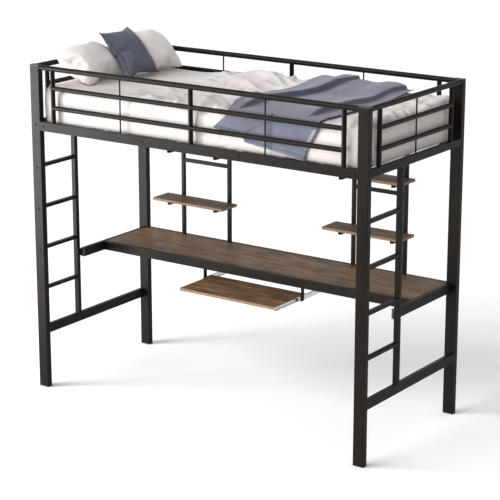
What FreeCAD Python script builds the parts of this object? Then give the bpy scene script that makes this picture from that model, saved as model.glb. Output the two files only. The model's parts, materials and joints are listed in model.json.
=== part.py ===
"""Loft bed with a desk underneath: welded and bolted steel tube frame, slatted bed base, guard rails
on all four sides, a ladder in each end, two shelf racks, a desk top and a pull-out keyboard tray.

Millimetres.  The part's frame has its origin at the bottom centre of the bed: +X runs along the bed
towards its foot end, +Y towards the back (wall) side and +Z up.  The geometry below is written from the
front left bottom corner of the frame and moved to the origin when a node is exported.
"""
import FreeCAD
import Part
import os

V = FreeCAD.Vector

# Overall frame
LENGTH = 2100.0
WIDTH = 940.0
HEIGHT = 1800.0
WALL = 1.5
TOUCH = 0.01
NEARLY_ONE = 0.9
QUARTER_TURN = 90
CORNER_R = 2.0

# Posts: rectangular tube, the wide face along the bed
POST_X = 60.0
POST_Y = 34.0
FOOT = 4.0
CAP = 4.0
CAP_CHAMFER = 1.5
PLUG_DEPTH = 18.0
PLUG_FIT = 0.2

# Bed rails
RAIL_T = 20.0
RAIL_H = 50.0
RAIL_TOP = 1497.0
RAIL_BOTTOM = RAIL_TOP - RAIL_H
END_T = 25.0
END_RAIL_H = 40.0
LOW_RAIL_BOTTOM = 293.0
LOW_RAIL_H = 50.0

# Ladders, one in each end frame
UPRIGHT_X = 28.0
UPRIGHT_Y = 25.0
UPRIGHT_FRONT = 315.0
RUNG_X = 25.0
RUNG_Z = 18.0
RUNG_CENTRES = (556.0, 785.0, 1014.0, 1243.0)

# Guard rails
TOP_TUBE_D = 28.0
MID_TUBE_D = 25.0
ROD_D = 8.0
GUARD_INSET = 14.5
TOP_TUBE_Z = HEIGHT - TOP_TUBE_D / 2
MID_TUBE_Z = (1577.0, 1682.0)
SIDE_VERTICALS = (145.0, 1050.0, 1955.0)
SIDE_RODS = (597.5, 1502.5)
END_VERTICALS = (121.0, 819.0)
END_RODS = (470.0,)
TUBE_WALL = 1.2

# Slatted base
LEDGE = 20.0
LEDGE_T = 2.0
SLAT_COUNT = 16
SLAT_W = 40.0
SLAT_H = 15.0
SLAT_GAP = 1.0
SLAT_END_ROOM = 50.0
BEAM_X = (750.0, 1350.0)
BEAM_W = 25.0
TAB_T = 3.0
TAB_EDGE = 5.0

# Bolts
HEAD_D = 12.0
HEAD_H = 3.0
SHANK_D = 6.0
SHANK_L = 16.0
BOLT_INSET = 20.0
HEAD_ROUND = 1.2
SOCKET_R = 2.64
SOCKET_FLOOR = 1.2
HEX_SIDES = 6
HEX_TURN = 360 / HEX_SIDES

# Desk
DESK_TOP = 722.0
DESK_H = 50.0
DESK_BOTTOM = DESK_TOP - DESK_H
DESK_T = 25.0
DESK_SIDE_X = 31.0
DESK_SIDE_FRONT = 345.0
DESK_FRONT = 520.0
DESK_BOLT_BACK = 60.0
DESK_BOLT_EDGE = 14.0
DESK_CAP_T = 3.0
PLATE_INSET = 2.0
PLATE_EDGE = 5.0
PLATE_REACH = 75.0
PANEL_T = 15.0
PANEL_EDGE = 0.8
SEAM = 2.0
BAR_T = 20.0
BAR_X = (400.0, 1050.0, 1700.0)

# Shelf racks
RACK_TUBE = 20.0
RACK_FRONT = 909.0
RACK_X = ((320.0, 640.0), (1460.0, 1780.0))
RACK_CROSS_Z = 1145.0
SHELF_T = 15.0
SHELF_FRONT = 765.0
SHELF_LEFT_OVER = 106.0
SHELF_RIGHT_OVER = 59.0
SHELF_BOTTOMS = (935.0, 1235.0)
ARM_H = 16.0
ARM_FRONT = 777.0

# Keyboard tray, drawn out by TRAY_OUT from its closed place
TRAY_X = (745.0, 1355.0)
TRAY_TOP = 616.0
TRAY_DEPTH = 300.0
TRAY_CLOSED_FRONT = 523.0
TRAY_OUT = 212.0
RUNNER_T = 12.5
RUNNER_H = 25.0
RUNNER_L = 300.0
RUNNER_SHEET = 1.2
RUNNER_FRONT = 525.0
OUTER_DEPTH = 9.5
INNER_T = 6.0
INNER_PLAY = 1.0
HANGER_Y = (548.0, 775.0)
HANGER_W = 28.0
HANGER_T = 3.0
HANGER_FOOT = 24.0
HANGER_DROP = 2.0

# Bedding
COVER_X = (40.0, 2060.0)
COVER_Y = (41.0, 899.0)
COVER_BOTTOM = 1490.0
COVER_TOP = 1690.0
COVER_T = 8.0
COVER_R = 26.0
MATTRESS_BOTTOM = 1486.0
MATTRESS_TOP = 1652.0
MATTRESS_R = 18.0
SOFT_GAP = 0.5
SEAM_EDGE = 10.0
PILLOW_FRONT = ((300.0, 385.0, 120.0), V(143.0, 332.0, 1779.0), 35.0)
PILLOW_REAR = ((320.0, 335.0, 120.0), V(222.0, 738.0, 1795.0), 37.0)
CUSHION = ((300.0, 250.0, 90.0), V(256.0, 534.0, 1821.0), 47.5)
THROW_X = (1200.0, 1810.0)
THROW_HEM = 1503.0
THROW_T = 11.0


def box(x0, y0, z0, x1, y1, z1):
    return Part.makeBox(x1 - x0, y1 - y0, z1 - z0, V(x0, y0, z0))


def rounded(shape, along):
    """Rolled tube corners: the four long edges along the given axis."""
    edges = [e for e in shape.Edges if abs(e.tangentAt(e.FirstParameter).dot(along)) > NEARLY_ONE]
    return shape.makeFillet(CORNER_R, edges)


def tube_x(x0, x1, y0, z0, depth, height, wall=WALL):
    """Open rectangular tube along X."""
    outer = rounded(box(x0, y0, z0, x1, y0 + depth, z0 + height), V(1, 0, 0))
    return outer.cut(box(x0, y0 + wall, z0 + wall, x1, y0 + depth - wall, z0 + height - wall))


def tube_y(y0, y1, x0, z0, width, height, wall=WALL):
    """Open rectangular tube along Y."""
    outer = rounded(box(x0, y0, z0, x0 + width, y1, z0 + height), V(0, 1, 0))
    return outer.cut(box(x0 + wall, y0, z0 + wall, x0 + width - wall, y1, z0 + height - wall))


def tube_z(z0, z1, x0, y0, width, depth, wall=WALL):
    """Open rectangular tube along Z."""
    outer = rounded(box(x0, y0, z0, x0 + width, y0 + depth, z1), V(0, 0, 1))
    return outer.cut(box(x0 + wall, y0 + wall, z0, x0 + width - wall, y0 + depth - wall, z1))


def board(x0, y0, z0, x1, y1, z1):
    """Panel with its edges eased."""
    panel = box(x0, y0, z0, x1, y1, z1)
    return panel.makeChamfer(PANEL_EDGE, panel.Edges)


def rod(start, end, diameter):
    axis = end.sub(start)
    return Part.makeCylinder(diameter / 2, axis.Length, start, axis)


def pipe(start, end, diameter, wall=TUBE_WALL):
    return rod(start, end, diameter).cut(rod(start, end, diameter - 2 * wall))


def mirror_x(shape):
    """The same shape at the foot end."""
    return shape.mirror(V(LENGTH / 2, 0, 0), V(1, 0, 0))


def mirror_y(shape):
    """The same shape on the wall side."""
    return shape.mirror(V(0, WIDTH / 2, 0), V(0, 1, 0))


def solids(shapes):
    found = []
    for shape in shapes:
        found.extend(shape.Solids)
    return found


def export(node, shapes):
    group = Part.makeCompound(solids(shapes))
    group.translate(V(-LENGTH / 2, -WIDTH / 2, 0))
    if not group.isValid():
        raise ValueError(node + " is not a valid shape")
    group.exportStep("parts/" + node + ".step")


def bolt(head_seat, out):
    """Round-headed bolt with a hex socket; out points from the seat to the head."""
    head = Part.makeCylinder(HEAD_D / 2, HEAD_H, head_seat, out)
    far_rim = [e for e in head.Edges if abs(e.CenterOfMass.sub(head_seat).dot(out) - HEAD_H) < TOUCH]
    head = head.makeFillet(HEAD_ROUND, far_rim)
    socket_start = head_seat.add(V(out).multiply(SOCKET_FLOOR))
    corners = []
    side = V(0, 0, 1) if abs(out.z) < NEARLY_ONE else V(1, 0, 0)
    turn = FreeCAD.Rotation(out, HEX_TURN)
    for _ in range(HEX_SIDES + 1):
        corners.append(socket_start.add(V(side).multiply(SOCKET_R)))
        side = turn.multVec(side)
    socket = Part.Face(Part.makePolygon(corners)).extrude(V(out).multiply(HEAD_H))
    shank = Part.makeCylinder(SHANK_D / 2, SHANK_L, head_seat, V(out).multiply(-1))
    return head.cut(socket).fuse(shank)


def bolt_hole(shape, seat, out):
    """Clear the shank's hole so that a bolt fills it without overlap."""
    return shape.cut(Part.makeCylinder(SHANK_D / 2, SHANK_L, seat, V(out).multiply(-1)))


def post():
    """Front left post."""
    return tube_z(FOOT, HEIGHT - CAP, 0, 0, POST_X, POST_Y)


def plug(z_flange, z_inner):
    """Moulded plug: a flange that covers the tube's end and a body that fills its bore."""
    low, high = min(z_flange), max(z_flange)
    flange = rounded(box(0, 0, low, POST_X, POST_Y, high), V(0, 0, 1))
    rim_z = low if z_inner > high else high
    rim = [e for e in flange.Edges if abs(e.CenterOfMass.z - rim_z) < TOUCH]
    flange = flange.makeChamfer(CAP_CHAMFER, rim)
    z0, z1 = (high, z_inner) if z_inner > high else (z_inner, low)
    inset = WALL + PLUG_FIT
    return flange.fuse(box(inset, inset, z0, POST_X - inset, POST_Y - inset, z1))


def four(shape):
    return [shape, mirror_x(shape), mirror_y(shape), mirror_x(mirror_y(shape))]


def guard(length, verticals, rods, base):
    """Guard rail along X in the plane y = GUARD_INSET: separate coped tubes that touch at their welds."""
    def at(x, z):
        return V(x, GUARD_INSET, z)

    start, end = length
    top = pipe(at(start, TOP_TUBE_Z), at(end, TOP_TUBE_Z), TOP_TUBE_D)
    top_solid = rod(at(start, TOP_TUBE_Z), at(end, TOP_TUBE_Z), TOP_TUBE_D)
    posts = []
    for x in verticals:
        posts.append(pipe(at(x, base), at(x, TOP_TUBE_Z), MID_TUBE_D).cut(top_solid))
    tubes = [top] + posts
    mids = []
    for z in MID_TUBE_Z:
        for x0, x1 in zip(verticals[:-1], verticals[1:]):
            span = pipe(at(x0, z), at(x1, z), MID_TUBE_D)
            for x in (x0, x1):
                span = span.cut(rod(at(x, base), at(x, TOP_TUBE_Z), MID_TUBE_D))
            tubes.append(span)
            mids.append(rod(at(x0, z), at(x1, z), MID_TUBE_D))
    bars = []
    for x in rods:
        bar = rod(at(x, base), at(x, TOP_TUBE_Z), ROD_D)
        for other in mids + [top_solid]:
            bar = bar.cut(other)
        bars.append(bar)
    return tubes, bars


def turn_to_end(shape):
    """Turn a guard made along X into the head-end plane, so that X becomes Y."""
    turned = shape.copy()
    turned.rotate(V(0, 0, 0), V(0, 0, 1), QUARTER_TURN)
    return turned.mirror(V(0, 0, 0), V(1, 0, 0))


def c_channel(x_back, towards, y0, length, height, depth, sheet, z_mid):
    """Folded runner channel along Y: web at x_back and two flanges that reach towards +X or -X."""
    low = z_mid - height / 2
    near = x_back + towards * sheet
    far = x_back + towards * depth
    parts = [box(min(x_back, near), y0, low, max(x_back, near), y0 + length, low + height)]
    for z in (low, low + height - sheet):
        parts.append(box(min(near, far), y0, z, max(near, far), y0 + length, z + sheet))
    return parts


def lens(half, thick):
    """Outline of a cushion's section: two arcs that meet in a narrow seam."""
    edge = SEAM_EDGE / 2
    top = Part.Arc(V(-half, 0, edge), V(0, 0, thick / 2), V(half, 0, edge)).toShape()
    bottom = Part.Arc(V(half, 0, -edge), V(0, 0, -thick / 2), V(-half, 0, -edge)).toShape()
    sides = [Part.makeLine(V(half, 0, edge), V(half, 0, -edge)),
             Part.makeLine(V(-half, 0, -edge), V(-half, 0, edge))]
    return Part.Face(Part.Wire([top, sides[0], bottom, sides[1]]))


def cushion(size, centre, lean, clear_of):
    """Crowned pillow that leans back on the head end, trimmed clear of what it rests on."""
    depth, width, thick = size
    along = lens(depth / 2, thick).extrude(V(0, width, 0))
    along.translate(V(0, -width / 2, 0))
    across = lens(width / 2, thick).extrude(V(0, depth, 0))
    across.translate(V(0, -depth / 2, 0))
    across.rotate(V(0, 0, 0), V(0, 0, 1), QUARTER_TURN)
    body = along.common(across)
    body.rotate(V(0, 0, 0), V(0, 1, 0), lean)
    body.translate(centre)
    for other in clear_of:
        body = body.cut(other)
    return max(body.Solids, key=lambda solid: solid.Volume)


def rounded_slab(x0, y0, z0, x1, y1, z1, radius):
    slab = box(x0, y0, z0, x1, y1, z1)
    return slab.makeFillet(radius, slab.Edges)


os.makedirs("parts", exist_ok=True)

# ---------------------------------------------------------------- posts, caps and feet
front_seat_z = RAIL_BOTTOM + RAIL_H / 2
post_bolts_z = RUNG_CENTRES + (LOW_RAIL_BOTTOM + LOW_RAIL_H / 2, RAIL_TOP - END_RAIL_H / 2)
bolts = []
front_left = post()
for z in post_bolts_z:
    seat = V(POST_X / 2, 0, z)
    front_left = bolt_hole(front_left, seat, V(0, -1, 0))
    bolts.extend(four(bolt(seat, V(0, -1, 0))))
for name, shape in zip(("front_left", "front_right", "rear_left", "rear_right"), four(front_left)):
    export("post_" + name, [shape])
export("post_caps", four(plug((HEIGHT - CAP, HEIGHT), HEIGHT - CAP - PLUG_DEPTH)))
export("post_feet", four(plug((0, FOOT), FOOT + PLUG_DEPTH)))

# ---------------------------------------------------------------- bed rails
side_rail = tube_x(POST_X, LENGTH - POST_X, 0, RAIL_BOTTOM, RAIL_T, RAIL_H)
side_bolt_x = (POST_X + BOLT_INSET,) + BEAM_X + (LENGTH - POST_X - BOLT_INSET,)
for x in side_bolt_x:
    seat = V(x, 0, front_seat_z)
    side_rail = bolt_hole(side_rail, seat, V(0, -1, 0))
    head = bolt(seat, V(0, -1, 0))
    bolts.extend([head, mirror_y(head)])
export("side_rail_front", [side_rail])
export("side_rail_rear", [mirror_y(side_rail)])

end_rail = tube_y(POST_Y, WIDTH - POST_Y, 0, RAIL_TOP - END_RAIL_H, END_T, END_RAIL_H)
export("end_rail_left", [end_rail])
export("end_rail_right", [mirror_x(end_rail)])
low_rail = tube_y(POST_Y, WIDTH - POST_Y, 0, LOW_RAIL_BOTTOM, END_T, LOW_RAIL_H)
export("cross_rail_left", [low_rail])
export("cross_rail_right", [mirror_x(low_rail)])
export("frame_bolts", bolts)

# Angle plates welded to the posts behind the ends of the side rails
tab = box(POST_X, RAIL_T, RAIL_BOTTOM + TAB_EDGE, POST_X + 2 * BOLT_INSET, RAIL_T + TAB_T,
          RAIL_TOP - TAB_EDGE)
export("rail_tabs", four(tab))

# ---------------------------------------------------------------- ladders
low_top = LOW_RAIL_BOTTOM + LOW_RAIL_H
upright = tube_z(low_top, RAIL_TOP - END_RAIL_H, 0, UPRIGHT_FRONT, UPRIGHT_X, UPRIGHT_Y)
ladder_seat = V(DESK_SIDE_X, UPRIGHT_FRONT + UPRIGHT_Y / 2, (DESK_BOTTOM + DESK_TOP) / 2)
upright = bolt_hole(upright, ladder_seat, V(1, 0, 0))
rungs = [tube_y(POST_Y, UPRIGHT_FRONT, 0, z - RUNG_Z / 2, RUNG_X, RUNG_Z) for z in RUNG_CENTRES]
export("ladder_upright_left", [upright])
export("ladder_upright_right", [mirror_x(upright)])
export("ladder_rungs_left", rungs)
export("ladder_rungs_right", [mirror_x(rung) for rung in rungs])

# ---------------------------------------------------------------- guard rails
side_tubes, side_bars = guard((POST_X, LENGTH - POST_X), SIDE_VERTICALS, SIDE_RODS, RAIL_TOP)
end_tubes, end_bars = guard((POST_Y, WIDTH - POST_Y), END_VERTICALS, END_RODS, RAIL_TOP)
end_tubes = [turn_to_end(shape) for shape in end_tubes]
end_bars = [turn_to_end(shape) for shape in end_bars]
export("guard_front", side_tubes)
export("guard_rear", [mirror_y(shape) for shape in side_tubes])
export("guard_left", end_tubes)
export("guard_right", [mirror_x(shape) for shape in end_tubes])
rods = side_bars + [mirror_y(shape) for shape in side_bars]
rods += end_bars + [mirror_x(shape) for shape in end_bars]
export("guard_rods", rods)

# ---------------------------------------------------------------- slatted base
slat_bottom = MATTRESS_BOTTOM - SOFT_GAP - SLAT_H
ledge_foot = box(POST_X, RAIL_T, slat_bottom - LEDGE_T, LENGTH - POST_X, RAIL_T + LEDGE, slat_bottom)
ledge_leg = box(POST_X, RAIL_T, slat_bottom - LEDGE, LENGTH - POST_X, RAIL_T + LEDGE_T, slat_bottom - LEDGE_T)
ledge = ledge_foot.fuse(ledge_leg).removeSplitter()
ledge = ledge.cut(box(POST_X, RAIL_T, RAIL_BOTTOM, POST_X + 2 * BOLT_INSET, RAIL_T + TAB_T, RAIL_TOP))
ledge = ledge.cut(box(LENGTH - POST_X - 2 * BOLT_INSET, RAIL_T, RAIL_BOTTOM, LENGTH - POST_X,
                      RAIL_T + TAB_T, RAIL_TOP))
slat_start = RAIL_T + LEDGE_T + SLAT_GAP
slat_span = (slat_start, WIDTH - slat_start)
beam_y = (RAIL_T + LEDGE, WIDTH - RAIL_T - LEDGE)
beams = [tube_y(beam_y[0], beam_y[1], x - BEAM_W / 2, RAIL_BOTTOM, BEAM_W, slat_bottom - RAIL_BOTTOM)
         for x in BEAM_X]
first = POST_X + SLAT_END_ROOM
pitch = (LENGTH - 2 * first - SLAT_W) / (SLAT_COUNT - 1)
slats = [tube_y(slat_span[0], slat_span[1], first + i * pitch, slat_bottom, SLAT_W, SLAT_H, TUBE_WALL)
         for i in range(SLAT_COUNT)]
export("slat_ledges", [ledge, mirror_y(ledge)])
export("base_beams", beams)
export("slats", slats)

# ---------------------------------------------------------------- desk frame
post_front = WIDTH - POST_Y
side_inner = DESK_SIDE_X + DESK_T
desk_side = tube_y(DESK_SIDE_FRONT, post_front, DESK_SIDE_X, DESK_BOTTOM, DESK_T, DESK_H)
desk_bolts = []
for z in (DESK_BOTTOM + DESK_BOLT_EDGE, DESK_TOP - DESK_BOLT_EDGE):
    seat = V(side_inner, DESK_FRONT - DESK_BOLT_BACK, z)
    desk_side = bolt_hole(desk_side, seat, V(1, 0, 0))
    desk_bolts.append(bolt(seat, V(1, 0, 0)))
export("desk_side_left", [desk_side])
export("desk_side_right", [mirror_x(desk_side)])
cap_front = DESK_SIDE_FRONT - DESK_CAP_T
end_cap = rounded(box(DESK_SIDE_X, cap_front, DESK_BOTTOM, side_inner, DESK_SIDE_FRONT, DESK_TOP), V(0, 1, 0))
cap_inset = WALL + PLUG_FIT
end_cap = end_cap.fuse(box(DESK_SIDE_X + cap_inset, DESK_SIDE_FRONT, DESK_BOTTOM + cap_inset,
                           side_inner - cap_inset, DESK_SIDE_FRONT + PLUG_DEPTH, DESK_TOP - cap_inset))
export("desk_end_caps", [end_cap, mirror_x(end_cap)])
plate = box(UPRIGHT_X, UPRIGHT_FRONT + PLATE_INSET, DESK_BOTTOM + PLATE_EDGE, DESK_SIDE_X,
            DESK_SIDE_FRONT + PLATE_REACH, DESK_TOP - PLATE_EDGE)
plate = bolt_hole(plate, ladder_seat, V(1, 0, 0))
desk_bolts.append(bolt(ladder_seat, V(1, 0, 0)))
export("desk_plates", [plate, mirror_x(plate)])
export("desk_bolts", desk_bolts + [mirror_x(shape) for shape in desk_bolts])
desk_front_rail = tube_x(side_inner, LENGTH - side_inner, DESK_FRONT, DESK_BOTTOM, DESK_T, DESK_H)
export("desk_front_rail", [desk_front_rail])
desk_rear_rail = tube_x(POST_X, LENGTH - POST_X, post_front, DESK_BOTTOM, DESK_T, DESK_H)
export("desk_rear_rail", [desk_rear_rail])
panel_bottom = DESK_TOP - PANEL_T
bar_y = (DESK_FRONT + DESK_T, post_front)
bars = [tube_y(bar_y[0], bar_y[1], x - BAR_T / 2, panel_bottom - BAR_T, BAR_T, BAR_T) for x in BAR_X]
export("desk_bars", bars)
middle = LENGTH / 2
panel = board(side_inner, bar_y[0], panel_bottom, middle - SEAM / 2, bar_y[1], DESK_TOP)
export("desktop_left", [panel])
export("desktop_right", [mirror_x(panel)])

# ---------------------------------------------------------------- shelf racks
for side, (left_x, right_x) in zip(("left", "right"), RACK_X):
    half = RACK_TUBE / 2
    uprights = [tube_z(DESK_TOP, RAIL_BOTTOM, x - half, RACK_FRONT, RACK_TUBE, RACK_TUBE)
                for x in (left_x, right_x)]
    export("rack_uprights_" + side, uprights)
    export("rack_cross_" + side,
           [tube_x(left_x + half, right_x - half, RACK_FRONT, RACK_CROSS_Z, RACK_TUBE, RACK_TUBE)])
    arms = []
    for level, bottom in zip(("lower", "upper"), SHELF_BOTTOMS):
        for x in (left_x, right_x):
            arms.append(tube_y(ARM_FRONT, RACK_FRONT, x - half, bottom - ARM_H, RACK_TUBE, ARM_H))
        shelf = board(left_x - SHELF_LEFT_OVER, SHELF_FRONT, bottom, right_x + SHELF_RIGHT_OVER, RACK_FRONT,
                      bottom + SHELF_T)
        export("shelf_" + level + "_" + side, [shelf])
    export("shelf_arms_" + side, arms)

# ---------------------------------------------------------------- keyboard tray and its runners
tray_front = TRAY_CLOSED_FRONT - TRAY_OUT
tray_bottom = TRAY_TOP - PANEL_T
tray = board(TRAY_X[0], tray_front, tray_bottom, TRAY_X[1], tray_front + TRAY_DEPTH, TRAY_TOP)
export("tray_board", [tray])
runner_mid = TRAY_TOP - RUNNER_H / 2
outer_web = TRAY_X[0] - RUNNER_T
inner_front = RUNNER_FRONT - TRAY_OUT
outer = c_channel(outer_web, 1, RUNNER_FRONT, RUNNER_L, RUNNER_H, OUTER_DEPTH, RUNNER_SHEET, runner_mid)
inner_height = RUNNER_H - 2 * RUNNER_SHEET - 2 * INNER_PLAY
inner = c_channel(TRAY_X[0], -1, inner_front, RUNNER_L, inner_height, INNER_T, RUNNER_SHEET, runner_mid)
export("runner_outer_left", outer)
export("runner_outer_right", [mirror_x(shape) for shape in outer])
export("runner_inner_left", inner)
export("runner_inner_right", [mirror_x(shape) for shape in inner])
hangers = []
for y in HANGER_Y:
    leg = box(outer_web - HANGER_T, y, TRAY_TOP - RUNNER_H - HANGER_DROP, outer_web, y + HANGER_W,
              panel_bottom - HANGER_T)
    foot = box(outer_web - HANGER_T - HANGER_FOOT, y, panel_bottom - HANGER_T, outer_web, y + HANGER_W,
               panel_bottom)
    hangers.append(leg.fuse(foot).removeSplitter())
export("tray_hangers", hangers + [mirror_x(shape) for shape in hangers])

# ---------------------------------------------------------------- bedding
inner = COVER_T + SOFT_GAP
mattress = rounded_slab(COVER_X[0] + inner, COVER_Y[0] + inner, MATTRESS_BOTTOM, COVER_X[1] - inner,
                        COVER_Y[1] - inner, MATTRESS_TOP, MATTRESS_R)
export("mattress", [mattress])
cover = rounded_slab(COVER_X[0], COVER_Y[0], COVER_BOTTOM - COVER_R, COVER_X[1], COVER_Y[1], COVER_TOP,
                     COVER_R)
cover = cover.cut(box(0, 0, 0, LENGTH, WIDTH, COVER_BOTTOM))
cavity = rounded_slab(COVER_X[0] + COVER_T, COVER_Y[0] + COVER_T, MATTRESS_BOTTOM - COVER_R,
                      COVER_X[1] - COVER_T, COVER_Y[1] - COVER_T, MATTRESS_TOP + SOFT_GAP, MATTRESS_R)
export("bed_cover", [cover.cut(cavity)])
rest_zone = box(0, 0, 0, LENGTH, WIDTH, COVER_TOP + SOFT_GAP)
end_zone = box(-POST_X, 0, 0, END_T + UPRIGHT_X, WIDTH, HEIGHT + SOFT_GAP)
pillow_front = cushion(*PILLOW_FRONT, (rest_zone, end_zone))
pillow_rear = cushion(*PILLOW_REAR, (rest_zone, end_zone))
export("pillow_front", [pillow_front])
export("pillow_rear", [pillow_rear])
export("cushion", [cushion(*CUSHION, (rest_zone, end_zone, pillow_front, pillow_rear))])
throw_bottom = COVER_TOP + SOFT_GAP
throw_front = COVER_Y[0] - SOFT_GAP
spread = box(THROW_X[0], throw_front, throw_bottom, THROW_X[1], COVER_Y[1], throw_bottom + THROW_T)
fall = box(THROW_X[0], throw_front - THROW_T, THROW_HEM, THROW_X[1], throw_front, throw_bottom + THROW_T)
export("throw", [spread.fuse(fall).removeSplitter()])
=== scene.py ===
"""Looks for the loft bed with desk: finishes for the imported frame, modelled bedding, light and camera.

Metres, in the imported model's frame: +X to the foot end, +Y to the wall side, +Z up, origin on the floor
under the middle of the bed.
"""
import bpy
import bmesh
import json
import math
from mathutils import Vector, Matrix, noise
from mathutils.bvhtree import BVHTree


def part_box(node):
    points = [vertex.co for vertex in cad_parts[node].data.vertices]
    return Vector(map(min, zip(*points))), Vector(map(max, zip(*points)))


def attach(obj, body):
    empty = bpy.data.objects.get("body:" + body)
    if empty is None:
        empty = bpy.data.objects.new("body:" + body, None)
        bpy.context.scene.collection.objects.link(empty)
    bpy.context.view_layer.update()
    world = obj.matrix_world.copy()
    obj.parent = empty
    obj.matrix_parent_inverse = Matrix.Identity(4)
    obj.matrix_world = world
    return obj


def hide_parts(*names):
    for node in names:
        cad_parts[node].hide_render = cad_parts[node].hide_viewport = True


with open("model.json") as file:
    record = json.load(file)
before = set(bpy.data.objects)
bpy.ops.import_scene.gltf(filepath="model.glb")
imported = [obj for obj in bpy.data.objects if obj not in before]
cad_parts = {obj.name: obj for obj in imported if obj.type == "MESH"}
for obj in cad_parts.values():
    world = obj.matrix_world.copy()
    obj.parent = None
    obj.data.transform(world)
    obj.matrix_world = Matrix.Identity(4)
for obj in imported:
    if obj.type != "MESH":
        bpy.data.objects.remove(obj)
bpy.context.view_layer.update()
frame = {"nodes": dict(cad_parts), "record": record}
nodes = frame["nodes"]
scene = bpy.context.scene


# ------------------------------------------------------------------ node helpers
# The colour sockets of a Mix node, which share their names with its plain and vector sockets.
MIX_COLOUR_A = 6
MIX_COLOUR_B = 7
MIX_COLOUR_OUT = 2


class Graph:
    """A material's node tree with short ways to add and join nodes."""

    def __init__(self, name):
        self.material = bpy.data.materials.new(name)
        self.material.use_nodes = True
        self.tree = self.material.node_tree
        self.shader = self.tree.nodes["Principled BSDF"]

    def feed(self, node, key, value):
        """Join a socket to the node's input, or set a plain value there."""
        if isinstance(value, bpy.types.NodeSocket):
            self.tree.links.new(value, node.inputs[key])
        else:
            node.inputs[key].default_value = value

    def add(self, kind, inputs=None, **settings):
        """New shader node of this kind, with its inputs and settings."""
        node = self.tree.nodes.new("ShaderNode" + kind)
        for key, value in settings.items():
            setattr(node, key, value)
        for key, value in (inputs or {}).items():
            self.feed(node, key, value)
        return node

    def join(self, source, key):
        """Join a socket to the surface shader."""
        self.tree.links.new(source, self.shader.inputs[key])

    def set(self, **values):
        """Set plain values on the surface shader; _ stands for a space in an input's name."""
        for key, value in values.items():
            self.shader.inputs[key.replace("_", " ")].default_value = value

    def place(self, scale=(1, 1, 1), turn=(0, 0, 0), shift=(0, 0, 0)):
        """The object's own coordinates, scaled, turned and shifted."""
        coords = self.add("TexCoord")
        mapping = self.add("Mapping", {"Vector": coords.outputs["Object"], "Scale": scale, "Rotation": turn,
                                       "Location": shift})
        return mapping.outputs["Vector"]

    def noise(self, where, scale, detail=3.0, roughness=0.5):
        """Noise from 0 to 1; scale is how often it changes in a metre."""
        node = self.add("TexNoise", {"Vector": where, "Scale": scale, "Detail": detail,
                                     "Roughness": roughness})
        return node.outputs["Fac"]

    def ramp(self, value, *stops):
        """Colour ramp through stops of a position and a colour."""
        node = self.add("ValToRGB", {"Fac": value})
        bar = node.color_ramp
        while len(bar.elements) < len(stops):
            bar.elements.new(1.0)
        for element, (position, colour) in zip(bar.elements, stops):
            element.position = position
            element.color = (*colour, 1.0)
        return node.outputs["Color"]

    def spread(self, value, low, high, out_low, out_high):
        """Map low..high onto out_low..out_high."""
        node = self.add("MapRange", {"Value": value, "From Min": low, "From Max": high, "To Min": out_low,
                                     "To Max": out_high})
        return node.outputs["Result"]

    def math(self, operation, a, b=0.0):
        """Sum, product or the like of two values, each a socket or a plain number."""
        node = self.add("Math", {0: a, 1: b}, operation=operation)
        return node.outputs[0]

    def mix(self, factor, a, b, blend="MIX"):
        """Mix two colours, each a socket or a plain colour."""
        node = self.add("Mix", {"Factor": factor}, data_type="RGBA", blend_type=blend)
        for key, value in ((MIX_COLOUR_A, a), (MIX_COLOUR_B, b)):
            self.feed(node, key, value if isinstance(value, bpy.types.NodeSocket) else (*value, 1.0))
        return node.outputs[MIX_COLOUR_OUT]

    def bump(self, height, distance, strength):
        """Normal of a relief that is distance metres high."""
        inputs = {"Height": height, "Distance": distance, "Strength": strength}
        return self.add("Bump", inputs).outputs["Normal"]


def times(values, factor):
    """Each of the values multiplied by the factor."""
    return tuple(value * factor for value in values)


# ------------------------------------------------------------------ materials
FRAME_COLOUR = (0.0066, 0.0043, 0.0030)
BOLT_COLOUR = (0.012, 0.011, 0.010)
PLASTIC_COLOUR = (0.016, 0.015, 0.014)
WOOD_DEEP = (0.064, 0.038, 0.020)
WOOD_MID = (0.112, 0.066, 0.034)
WOOD_PALE = (0.172, 0.103, 0.053)
WOOD_EDGE = (0.185, 0.117, 0.068)
ZINC_DARK = (0.55, 0.56, 0.58)
ZINC_LIGHT = (0.78, 0.79, 0.80)
COVER_COLOUR = (0.62, 0.575, 0.555)
PILLOW_COLOUR = (0.80, 0.755, 0.735)
MATTRESS_COLOUR = (0.68, 0.65, 0.635)
THROW_COLOUR = (0.120, 0.128, 0.172)
CUSHION_COLOUR = (0.095, 0.103, 0.138)
# Dark navy of the welts and the hem, also used to paint the shadow line under the throw's folded-over edge.
TRIM_AND_SHADE_COLOUR = (0.045, 0.055, 0.090)
THREAD_COLOUR = (0.62, 0.64, 0.70)
WHITE = (1.0, 1.0, 1.0)
LINEN_SHEEN = (1.0, 0.97, 0.95)

# How a board's pattern is squeezed across its grain, which runs along X, and where the pattern starts.
GRAIN_STRETCH = (1.0, 9.0, 9.0)
GRAIN_SHIFT = (0.37, 0.11, 0.0)


def painted_metal(name, colour, rough, relief=0.0004):
    """Powder coat: fine orange-peel grain over a colour that varies a little."""
    g = Graph(name)
    fine = g.noise(g.place(), 900.0, 2.0)
    broad = g.noise(g.place((1, 1, 0.4)), 5.0, 4.0, 0.6)
    g.join(g.ramp(broad, (0.3, times(colour, 0.8)), (0.75, times(colour, 1.35))), "Base Color")
    g.join(g.spread(broad, 0.3, 0.7, rough - 0.05, rough + 0.06), "Roughness")
    g.join(g.bump(fine, relief, 0.35), "Normal")
    g.set(Specular_IOR_Level=0.09)
    return g.material


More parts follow.
